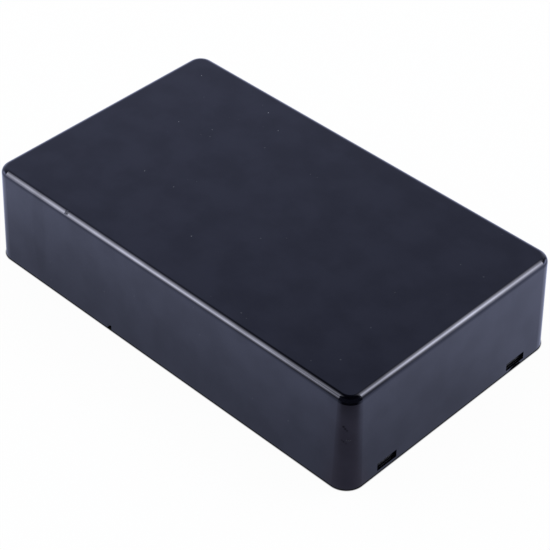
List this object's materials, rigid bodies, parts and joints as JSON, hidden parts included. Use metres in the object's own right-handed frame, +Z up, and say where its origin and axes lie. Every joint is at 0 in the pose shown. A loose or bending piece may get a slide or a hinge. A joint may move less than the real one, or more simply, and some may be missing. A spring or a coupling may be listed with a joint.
{
  "type": "plastic project box",
  "caption": "Small rectangular snap-together enclosure: a glossy deep cover with rounded edges over a flat base plate with board posts.",
  "frame": {"origin": "middle of the underside, on the surface that the box stands on", "axes": "+X along the long side, towards the short wall whose two windows the picture shows; +Y across; +Z up, the way the cover lifts"},
  "size_m": [0.1, 0.06, 0.0225],
  "materials": {
    "cover_gloss": "glossy black",
    "plate_satin": "fine satin black"
  },
  "bodies": {
    "base": {"base_plate": "plate_satin"},
    "cover": {"cover_shell": "cover_gloss"}
  },
  "joints": [
    {"name": "cover_lift", "type": "slide", "parent": "base", "child": "cover", "axis": [0, 0, 1], "range_m": [0, 0.04]}
  ]
}
